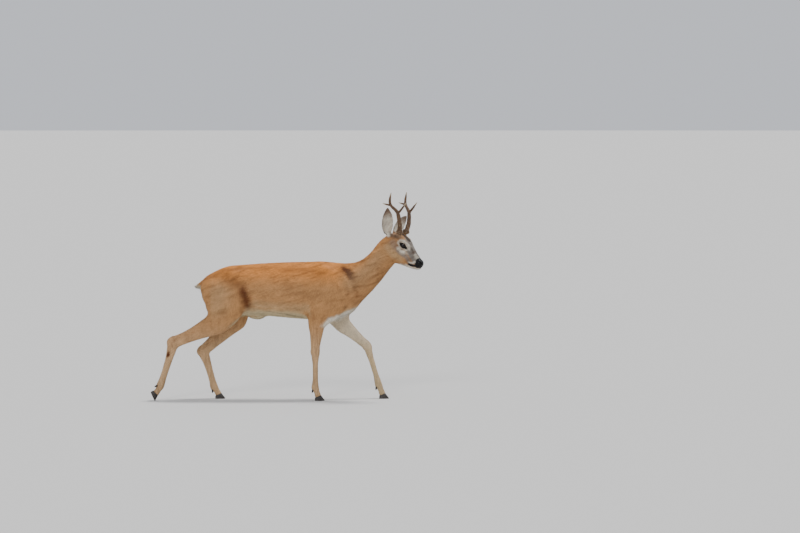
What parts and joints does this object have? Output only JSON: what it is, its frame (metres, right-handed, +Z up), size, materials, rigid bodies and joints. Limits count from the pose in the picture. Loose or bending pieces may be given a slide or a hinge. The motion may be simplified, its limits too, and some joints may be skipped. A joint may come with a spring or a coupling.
{
  "type": "roe deer buck",
  "caption": "Life-size still model of a roebuck in red summer coat, walking with its head turned a little, with short branched antlers; it rests on its claws.",
  "frame": {"origin": "on the floor, under the middle of the model's box", "axes": "+X the way the buck walks, +Z up, so +Y is its left side"},
  "size_m": [1.3666, 0.2396, 1.0417],
  "materials": {
    "coat": "short smooth fur, foxy red above, tan on the flanks and legs, cream below",
    "face_coat": "very short grey-brown fur, pale round the eye and on the chin, black bare nose",
    "eye": "wet, glossy, nearly black",
    "antler": "beaded brown bone with polished ivory tips",
    "horn": "dull black-brown horn"
  },
  "bodies": {
    "root": {"antler_left_beam": "antler", "antler_left_front_tine": "antler", "antler_left_rear_tine": "antler", "antler_left_upper_beam": "antler", "antler_right_beam": "antler", "antler_right_front_tine": "antler", "antler_right_rear_tine": "antler", "antler_right_upper_beam": "antler", "claw_fore_left_inner": "horn", "claw_fore_left_outer": "horn", "claw_fore_right_inner": "horn", "claw_fore_right_outer": "horn", "claw_hind_left_inner": "horn", "claw_hind_left_outer": "horn", "claw_hind_right_inner": "horn", "claw_hind_right_outer": "horn", "dewclaw_fore_left_inner": "horn", "dewclaw_fore_left_outer": "horn", "dewclaw_fore_right_inner": "horn", "dewclaw_fore_right_outer": "horn", "dewclaw_hind_left_inner": "horn", "dewclaw_hind_left_outer": "horn", "dewclaw_hind_right_inner": "horn", "dewclaw_hind_right_outer": "horn", "ear_left": "face_coat", "ear_right": "face_coat", "eye_left": "eye", "eye_right": "eye", "fore_cannon_left": "coat", "fore_cannon_right": "coat", "fore_forearm_left": "coat", "fore_forearm_right": "coat", "fore_pastern_left": "coat", "fore_pastern_right": "coat", "fore_upper_left": "coat", "fore_upper_right": "coat", "head": "face_coat", "hind_cannon_left": "coat", "hind_cannon_right": "coat", "hind_gaskin_left": "coat", "hind_gaskin_right": "coat", "hind_pastern_left": "coat", "hind_pastern_right": "coat", "hind_thigh_left": "coat", "hind_thigh_right": "coat", "neck": "coat", "tail": "coat", "trunk": "coat"}
  },
  "joints": []
}
